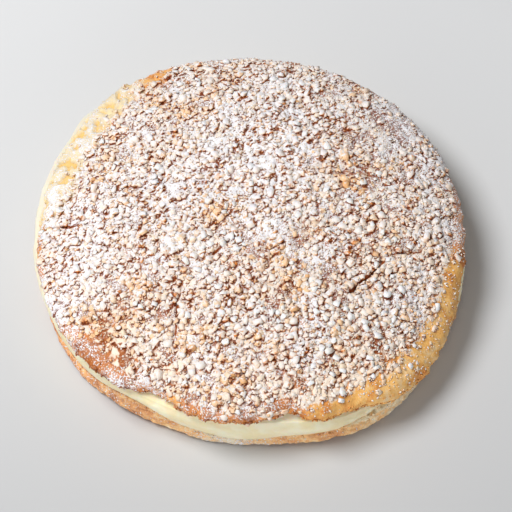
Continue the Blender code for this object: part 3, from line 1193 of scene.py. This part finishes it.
@dataclass
class BriocheBase:
    """The lower half of the brioche: a flat underside, a browned side and the knife's cut on top."""

    cuts: Cuts
    edge: Edge = Edge(
        0.1146,
        ((1, 0.0020, 170),),
        ((-150, 24, 0.0010), (-94, 26, -0.0022), (-57, 28, 0.0042), (-115, 13, -0.0018)),
    )
    # browning by direction round the side; the paler entries at -54 and -36 degrees also paint light onto the
    # lower right, where shade falls
    browner: tuple[Bulge, ...] = (
        (-140, 34, 0.20),
        (-116, 14, -0.08),
        (-54, 20, -0.32),
        (-36, 24, -0.20),
        (-96, 16, -0.12),
    )
    corner_drop: float = 0.0016
    foot_inset: float = 0.0050
    corner_from: float = 0.36  # share of the height from which the side turns in to the cut
    foot_to: float = 0.30  # share of the height up to which it turns in to the foot
    turning: float = 2.4
    around: int = 1200
    rows: int = 26

    def _inset(self, share: Array) -> Array:
        """How far in the side lies.

        Args:
            share: Shares of the side's height.

        Returns:
            The inset in metres at each.
        """
        upper = np.clip((share - self.corner_from) / (1 - self.corner_from), 0, 1)
        lower = np.clip((self.foot_to - share) / self.foot_to, 0, 1)
        return self.corner_drop * upper**self.turning + self.foot_inset * lower**self.turning

    def build(self) -> Mesh:
        """Builds the base.

        Returns:
            A closed mesh with its masks.
        """
        angle = np.linspace(0, 2 * np.pi, self.around, endpoint=False)[None]
        share = np.linspace(1, 0, self.rows)[:, None]
        height = self.cuts.lower(angle)
        radius = self.edge.at(angle) - self._inset(share)
        side = np.stack([radius * np.cos(angle), radius * np.sin(angle), share * height], -1)
        stretched = side * np.array([1, 1, 2.5])
        relief = 0.0007 * layered_noise(stretched, 0.011, 71)
        relief = relief + 0.0007 * layered_noise(stretched, 0.0036, 73, 4) - 0.0006
        relief *= smoothstep(share, 0.0, 0.12)
        side = side + ring_normals(side) * relief[..., None]
        side[..., 2] = np.maximum(side[..., 2], 0)
        top_rim = side[:1] * np.array([0.9, 0.9, 1])
        foot_rim = side[-1:] * np.array([0.9, 0.9, 0])
        rings = np.concatenate([top_rim, side, foot_rim])
        top = np.array([0, 0, self.cuts.base_thickness])
        mesh = closed_rings("brioche_base_side", top, rings, np.zeros(3))
        rows = np.concatenate([[1], share[:, 0], [0]])
        heights = np.concatenate([[1], np.repeat(rows, self.around), [0]])
        place = np.vstack([top, rings.reshape(-1, 3), np.zeros(3)])
        turn = np.arctan2(place[:, 1], place[:, 0])
        # browning round the side, with painted light on the lower right
        bake = 0.46 + bulges_at(turn, self.browner)
        bake = bake + 0.20 * layered_noise(place * np.array([1, 1, 2.5]), 0.009, 79)
        bake += 0.40 * smoothstep(heights, 0.16, 0.0) - 0.22 * smoothstep(heights, 0.80, 1.0)
        bake -= 0.22 * near(turn, -101, 20)
        set_mask(mesh, "bake", bake)
        set_mask(mesh, "dust", 0.05 + 0.32 * near(turn, -97, 24) + 0.18 * near(turn, -138, 30))
        for name in ("warmth", "melt", "crumb", "pit"):
            set_mask(mesh, name, 0 * turn)
        outwards = np.stack([np.cos(turn), np.sin(turn), 0 * turn], -1)
        set_mask(mesh, "open", painted_light_and_sift_share(outwards))
        patchy = smoothstep(layered_noise(place, 0.009, 83), 0.0, 0.5)
        bits = smoothstep(heights, 0.45, 0.9) * (0.04 + 0.10 * patchy + near(turn, -98, 16))
        set_mask(mesh, "bits", bits)
        foot = 0.7 * smoothstep(heights, 0.16, 0.06) * smoothstep(heights, 0.0, 0.03)
        rims = smoothstep(heights, 0.72, 0.95) + foot
        set_mask(mesh, "crumbs", np.clip(rims * (0.35 + 0.65 * near(turn, -95, 60)), 0, 1))
        return mesh


# Sugar --------------------------------------------------------------------------------------------


class SugarKind(Enum):
    """The kinds of sugar and crumbs that are strewn on the tart, by name of the piece."""

    CREAM = "pearl_sugar_cream"
    TOASTED = "pearl_sugar_toasted"
    WHITE = "pearl_sugar_white"
    FINES = "pearl_sugar_fines"
    BITS = "pearl_sugar_bits"
    CRUMBS = "crumbs_on_the_lid"
    EDGE = "sugar_on_the_base"
    EDGE_CRUMBS = "crumbs_on_the_base"


class Draw(IntEnum):
    """The random draws of a grain, each with a stream of its own."""

    SIZE = 1
    SHAPE = 2
    TILT = 3
    TOAST = 4
    LIFT = 5


@dataclass(frozen=True)
class Strewing:
    """How one kind of sugar or crumbs lies.

    The mask thins it. Spacing is the least between two grains, density the most grains to a square metre,
    smallest and largest are radii, and lift is how far a grain's middle stands above the crust, in radii.
    Coarse grains are lumps and the others specks. Tilt says how far they lean, and stray how lumpy they are.
    """

    kind: SugarKind
    mask: str
    spacing: float
    density: float
    smallest: float
    largest: float
    lift: float
    seed: int
    coarse: bool = True
    tilt: float = 0.30
    stray: float = 0.0020


class SugarStrewer:
    """Strews grains over a crust with Geometry Nodes."""

    SHAPE_SEED = 5
    STRETCHES = ((0.90, 0.75, 0.45), (1.50, 1.15, 0.75))  # least and most along x, y and z
    SQUARENESS = 0.50
    SIZE_SKEW = 1.7  # above 1, small grains outnumber large ones
    LIFT_SPREAD = 0.20
    LUMPINESS = {"Scale": 560.0, "Detail": 2.0, "Roughness": 0.6}

    def __init__(self) -> None:
        """Makes the grains' shapes and the node tree."""
        self.lumps = self._nuggets("sugar_lumps", 12, 1, 0.22)
        self.specks = self._nuggets("sugar_specks", 4, 0, 0.18)
        self.tree = self._tree()

    @staticmethod
    def _nuggets(name: str, count: int, cuts: int, unevenness: float) -> bpy.types.Collection:
        """Makes uneven rounded shapes with a radius of about 1 m, which are strewn at a thousandth of that.

        Args:
            name: The collection's name.
            count: How many shapes.
            cuts: Cuts through each side of a block; with none, the shape is a plain ball of triangles.
            unevenness: How far the corners stray, as a share of the radius.

        Returns:
            A collection with one object for each shape.
        """
        collection = bpy.data.collections.new(name)
        bpy.context.scene.collection.children.link(collection)
        draws = np.random.default_rng(SugarStrewer.SHAPE_SEED)
        for i in range(count):
            shape = bmesh.new()
            if cuts:
                bmesh.ops.create_cube(shape, size=1.0)
                bmesh.ops.subdivide_edges(shape, edges=shape.edges, cuts=cuts, use_grid_fill=True)
            else:
                bmesh.ops.create_icosphere(shape, subdivisions=1, radius=1.0)
            stretch = Vector(draws.uniform(*SugarStrewer.STRETCHES))
            for vertex in shape.verts:
                outwards = vertex.co.normalized()
                squared = outwards / max(abs(axis) for axis in outwards)
                rounded = outwards.lerp(squared, SugarStrewer.SQUARENESS)
                rounded *= 0.9 + draws.uniform(-unevenness, unevenness)
                vertex.co = Vector(a * b for a, b in zip(rounded, stretch))
            mesh = bpy.data.meshes.new(f"{name}_{i}")
            shape.to_mesh(mesh)
            shape.free()
            collection.objects.link(bpy.data.objects.new(mesh.name, mesh))
        return collection

    @staticmethod
    def _tree() -> Tree:
        """The node tree that strews, sinks, turns and roughens the grains of one kind.

        Each grain gets a toast of its own from 0 to 1, and each of its points its lift, the height above the
        crust.

        Returns:
            The tree, whose inputs are the crust, the grains, a strewing's values and the finish.
        """
        kit = SugarStrewer
        tree = bpy.data.node_groups.new("strewn_sugar", "GeometryNodeTree")
        group_sockets(tree, "INPUT", Crust="Geometry", Grains="Collection", Mask="String")
        numbers = ("Spacing", "Density", "Smallest", "Largest", "Lift", "Tilt", "Stray")
        group_sockets(tree, "INPUT", **dict.fromkeys(numbers, "Float"), Seed="Int", Finish="Material")
        group_sockets(tree, "OUTPUT", Sugar="Geometry")
        graph = Graph(tree)
        given = graph.add("NodeGroupInput").outputs
        seed = given["Seed"]

        def drawn(low: Any, high: Any, draw: Draw, kind: str = "FLOAT") -> Socket:
            """A random value for each grain.

            Args:
                low: The least that it may be.
                high: The most that it may be.
                draw: Which of the grain's draws it is.
                kind: Its data type.

            Returns:
                The value.
            """
            node = graph.add("FunctionNodeRandomValue", data_type=kind)
            live = [socket for socket in node.inputs if socket.enabled]
            graph.feed(node, node.inputs[:].index(live[0]), low)
            graph.feed(node, node.inputs[:].index(live[1]), high)
            graph.feed(node, "Seed", graph.calc("ADD", seed, int(draw)))
            return next(socket for socket in node.outputs if socket.enabled)

        strewn = graph.add(
            "GeometryNodeDistributePointsOnFaces",
            {
                "Mesh": given["Crust"],
                "Distance Min": given["Spacing"],
                "Density Max": given["Density"],
                "Density Factor": graph.named(given["Mask"]),
                "Seed": seed,
            },
            distribute_method="POISSON",
        )
        range_of_sizes = graph.calc("SUBTRACT", given["Largest"], given["Smallest"])
        skewed = graph.calc("POWER", drawn(0.0, 1.0, Draw.SIZE), kit.SIZE_SKEW)
        size = graph.calc("MULTIPLY_ADD", skewed, range_of_sizes, given["Smallest"])
        lift = graph.calc("ADD", given["Lift"], drawn(-kit.LIFT_SPREAD, kit.LIFT_SPREAD, Draw.LIFT))
        offset = graph.scaled(strewn.outputs["Normal"], graph.calc("MULTIPLY", size, lift))
        lifted = graph.moved(graph.stored(strewn.outputs["Points"], "size", size), offset)
        grains = graph.add(
            "GeometryNodeCollectionInfo",
            {"Collection": given["Grains"], "Separate Children": True, "Reset Children": True},
        )
        leans = drawn((-1, -1, -20), (1, 1, 20), Draw.TILT, "FLOAT_VECTOR")
        turn = graph.add("FunctionNodeEulerToRotation", {0: graph.scaled(leans, given["Tilt"])})
        turned = graph.add(
            "FunctionNodeRotateRotation",
            {0: strewn.outputs["Rotation"], 1: turn.outputs[0]},
            rotation_space="LOCAL",
        )
        placed = graph.add(
            "GeometryNodeInstanceOnPoints",
            {
                "Points": lifted,
                "Instance": grains.outputs[0],
                "Pick Instance": True,
                "Instance Index": drawn(0, 20, Draw.SHAPE, "INT"),
                "Rotation": turned.outputs[0],
                "Scale": graph.named("size"),
            },
        )
        toasted = graph.stored(placed.outputs[0], "toast", drawn(0.0, 1.0, Draw.TOAST), "INSTANCE")
        real = graph.add("GeometryNodeRealizeInstances", {0: toasted})
        lumpy = graph.add("ShaderNodeTexNoise", kit.LUMPINESS).outputs["Color"]
        centred = graph.add("ShaderNodeVectorMath", {0: lumpy, 1: (0.5, 0.5, 0.5)}, operation="SUBTRACT")
        shaped = graph.moved(real.outputs[0], graph.scaled(centred.outputs[0], given["Stray"]))
        height = graph.add("GeometryNodeProximity", {0: given["Crust"]}, target_element="FACES")
        measured = graph.stored(shaped, "lift", height.outputs["Distance"])
        finished = graph.add("GeometryNodeSetMaterial", {"Geometry": measured, "Material": given["Finish"]})
        graph.add("NodeGroupOutput", {"Sugar": finished.outputs[0]})
        return tree

    def strew(self, crust: Mesh, how: Strewing, finish: Material) -> Object:
        """Strews one kind of sugar over a crust.

        Args:
            crust: The mesh it lies on, which carries the mask.
            how: How the kind lies.
            finish: Its material.

        Returns:
            An object with a plain mesh, which is the grains alone.
        """
        carrier = make_object(how.kind.value, crust.copy())
        modifier = carrier.modifiers.new("strewn", "NODES")
        modifier.node_group = self.tree
        values = vars(how) | {"grains": self.lumps if how.coarse else self.specks, "finish": finish}
        for socket in self.tree.interface.items_tree:
            if socket.in_out == "INPUT" and socket.name.lower() in values:
                modifier[socket.identifier] = values[socket.name.lower()]
        graph = bpy.context.evaluated_depsgraph_get()
        plain = bpy.data.meshes.new_from_object(
            carrier.evaluated_get(graph), preserve_all_data_layers=True, depsgraph=graph
        )
        carrier.modifiers.remove(modifier)
        shown, carrier.data = carrier.data, plain
        bpy.data.meshes.remove(shown)
        places = np.empty(len(plain.vertices) * 3, np.float32)
        plain.vertices.foreach_get("co", places)
        places[2::3] = np.maximum(places[2::3], 0)
        plain.vertices.foreach_set("co", places)
        plain.name = how.kind.value
        plain.shade_smooth()
        return carrier

    def clear(self) -> None:
        """Removes the shapes that were strewn."""
        for collection in (self.lumps, self.specks):
            for grain in list(collection.objects):
                bpy.data.objects.remove(grain)
            bpy.data.collections.remove(collection)


# Studio -------------------------------------------------------------------------------------------


@dataclass(frozen=True)
class Lamp:
    """A soft lamp that looks at the tart: direction and elevation in degrees, distance, size and power."""

    name: str
    direction: float
    elevation: float
    distance: float
    width: float
    height: float
    power: float


@dataclass(frozen=True)
class Studio:
    """A pale floor, a high soft lamp on the left, a low broad one in front, and a lens that looks down."""

    target: tuple[float, float, float] = (-0.0005, -0.0085, 0.0200)
    elevation: float = 59.0
    lens: float = 150.0
    sensor: float = 36.0
    view_width: float = 0.2745
    lamps: tuple[Lamp, ...] = (
        Lamp("window", 176.0, 64.5, 1.15, 0.56, 0.56, 12.1),
        Lamp("front", -97.0, 12.0, 1.50, 1.60, 0.45, 8.2),
    )
    sky: float = 0.205
    # painted light falloff: the floor's colour runs from its shaded to its lit colour along the slope
    floor_near: Colour = (0.530, 0.535, 0.541)
    floor_far: Colour = (0.778, 0.784, 0.793)
    floor_slope: tuple[float, float, float] = (0.90, 2.3, 0.0)
    floor_width: float = 8.0
    floor_roughness: float = 0.6
    floor_specular: float = 0.2

    @staticmethod
    def _aim(obj: Object, at: Vector, direction: float, elevation: float, distance: float) -> None:
        """Stands an object off a point and turns it to look at that point.

        Args:
            obj: The object.
            at: The point.
            direction: Direction from the point to the object, in degrees.
            elevation: How high the object stands above it, in degrees.
            distance: How far off it stands.
        """
        turn, up = math.radians(direction), math.radians(elevation)
        back = Vector((math.cos(turn) * math.cos(up), math.sin(turn) * math.cos(up), math.sin(up)))
        obj.location = at + back * distance
        obj.rotation_euler = (-back).to_track_quat("-Z", "Y").to_euler()

    def camera(self) -> None:
        """Makes the camera, which stands on the -Y side."""
        data = bpy.data.cameras.new("camera")
        data.lens, data.sensor_width = self.lens, self.sensor
        camera = make_object("camera", data)
        distance = self.view_width / self.sensor * self.lens
        self._aim(camera, Vector(self.target), -90, self.elevation, distance)
        bpy.context.scene.camera = camera

    def lights(self) -> None:
        """Makes the soft lamps and the even sky that fills their shadows."""
        for lamp in self.lamps:
            data = bpy.data.lights.new(lamp.name, "AREA")
            data.shape, data.size, data.size_y = "ELLIPSE", lamp.width, lamp.height
            data.energy = lamp.power
            light = make_object(lamp.name, data)
            self._aim(light, Vector((0, 0, 0)), lamp.direction, lamp.elevation, lamp.distance)
        world = bpy.data.worlds.new("studio")
        world.use_nodes = True
        sky = world.node_tree.nodes["Background"]
        sky.inputs["Color"].default_value = (1, 1, 1, 1)
        sky.inputs["Strength"].default_value = self.sky
        bpy.context.scene.world = world

    def floor(self) -> Object:
        """Makes the floor, whose colour is painted lighter towards the back and +X, as painted light falloff.

        Returns:
            The floor.
        """
        half = self.floor_width / 2
        corners = np.array([(-half, -half, 0), (half, -half, 0), (half, half, 0), (-half, half, 0)])
        floor = make_object("floor", make_mesh("floor", corners, [(0, 1, 2, 3)]))
        material, graph, shader = new_material("pale_floor", self.floor_roughness, self.floor_specular)
        feeds = {"Value": graph.dot(graph.place(), self.floor_slope), "From Min": -0.5, "From Max": 0.5}
        share = graph.add("ShaderNodeMapRange", feeds)
        colour = graph.blend(share.outputs["Result"], self.floor_near, self.floor_far)
        graph.feed(shader, "Base Color", colour)
        floor.data.materials.append(material)
        return floor

    @staticmethod
    def plain_tones() -> None:
        """Shows colours as they are lit, without a film look."""
        view = bpy.context.scene.view_settings
        view.view_transform = "Standard"
        view.look = "None"


# Assembly -----------------------------------------------------------------------------------------

# Kind, mask, spacing, density, smallest, largest, lift and seed; for specks also coarse, tilt and stray.
STREWINGS = (
    Strewing(SugarKind.CREAM, "sugar", 0.00256, 430000.0, 0.00100, 0.00222, -0.20, 3),
    Strewing(SugarKind.TOASTED, "sugar", 0.00380, 80000.0, 0.00090, 0.00190, -0.12, 5),
    Strewing(SugarKind.FINES, "sugar", 0.00190, 110000.0, 0.00050, 0.00100, 0.50, 29, False, 0.9, 0.0014),
    Strewing(SugarKind.WHITE, "white", 0.00310, 190000.0, 0.00100, 0.00205, 0.14, 8),
    Strewing(SugarKind.BITS, "bits", 0.00105, 700000.0, 0.00028, 0.00075, 0.20, 13, False, 0.9, 0.0006),
)
CRUMB_STREWING = Strewing(
    SugarKind.CRUMBS, "crumbs", 0.00120, 900000.0, 0.00035, 0.00095, 0.10, 17, False, 0.9, 0.0008
)
EDGE_STREWING = Strewing(
    SugarKind.EDGE, "bits", 0.0015, 260000.0, 0.00030, 0.00080, 0.30, 21, False, 0.9, 0.0006
)
EDGE_CRUMBS = Strewing(
    SugarKind.EDGE_CRUMBS, "crumbs", 0.00130, 450000.0, 0.00035, 0.00090, 0.10, 23, False, 0.9, 0.0008
)

SUGAR_FINISHES = {
    SugarKind.CREAM: SugarFinish("cream_sugar"),
    SugarKind.FINES: SugarFinish("fine_sugar", caramel_height=0.0005),
    SugarKind.TOASTED: SugarFinish("toasted_sugar", (0.94, 0.77, 0.59), (0.84, 0.48, 0.22)),
    SugarKind.WHITE: SugarFinish(
        "white_sugar",
        (0.935, 0.920, 0.905),
        (0.93, 0.88, 0.81),
        (0.84, 0.50, 0.24),
        caramel_height=0.0006,
        glow=0.5,
        glow_length=0.0015,
    ),
    SugarKind.BITS: SugarFinish(
        "sugar_bits", (0.92, 0.86, 0.78), (0.88, 0.70, 0.48), caramel_height=0.0003, veil=0.5
    ),
    SugarKind.EDGE: SugarFinish(
        "edge_sugar", (0.92, 0.89, 0.82), (0.86, 0.72, 0.50), caramel_height=0.0002
    ),
}


def dress(piece: Object, slot: str, *nodes: str) -> Object:
    """Sets a finished piece on the tart's body.

    Args:
        piece: The piece.
        slot: The record's material slot; not used.
        *nodes: The CAD nodes that it stands for.

    Returns:
        The piece.
    """
    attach(piece, BODY)
    if nodes:
        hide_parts(*nodes)
    LOG.info("%s: %d faces", piece.name, len(piece.data.polygons))
    return piece


def main() -> None:
    """Builds the studio and the tart."""
    logging.basicConfig(level=logging.INFO, format="%(message)s")
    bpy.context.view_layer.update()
    studio = Studio()
    studio.camera()
    studio.lights()
    studio.plain_tones()
    studio.floor()

    kit = ShaderKit()
    cuts = Cuts()
    lid = make_object("brioche_lid_crust", LidCrust(cuts).build())
    crust_finish = CrustFinish("sugared_crust").material(kit)
    lid.data.materials.append(crust_finish)
    cream = make_object("pastry_cream_layer", CreamLayer(cuts).build())
    cream.data.materials.append(CreamFinish("pastry_cream").material(kit))
    base = make_object("brioche_base_side", BriocheBase(cuts).build())
    side_finish = CrustFinish(
        "brioche_side",
        golden=(0.98, 0.605, 0.27),
        brown=(0.75, 0.34, 0.14),
        mottling=0.80,
        least_facing=-1.60,
        lee=0.2,
    ).material(kit)
    base.data.materials.append(side_finish)

    strewer = SugarStrewer()
    for how in STREWINGS:
        dress(strewer.strew(lid.data, how, SUGAR_FINISHES[how.kind].material(kit)), "pearl_sugar")
    edge_finish = SUGAR_FINISHES[SugarKind.EDGE].material(kit)
    dress(strewer.strew(base.data, EDGE_STREWING, edge_finish), "pearl_sugar")
    dress(strewer.strew(lid.data, CRUMB_STREWING, crust_finish), "sugared_crust")
    dress(strewer.strew(base.data, EDGE_CRUMBS, side_finish), "brioche_side")
    strewer.clear()
    dress(lid, "sugared_crust", "brioche_lid")
    dress(cream, "pastry_cream", "pastry_cream")
    dress(base, "brioche_side", "brioche_base")


if __name__ == "__main__":
    main()
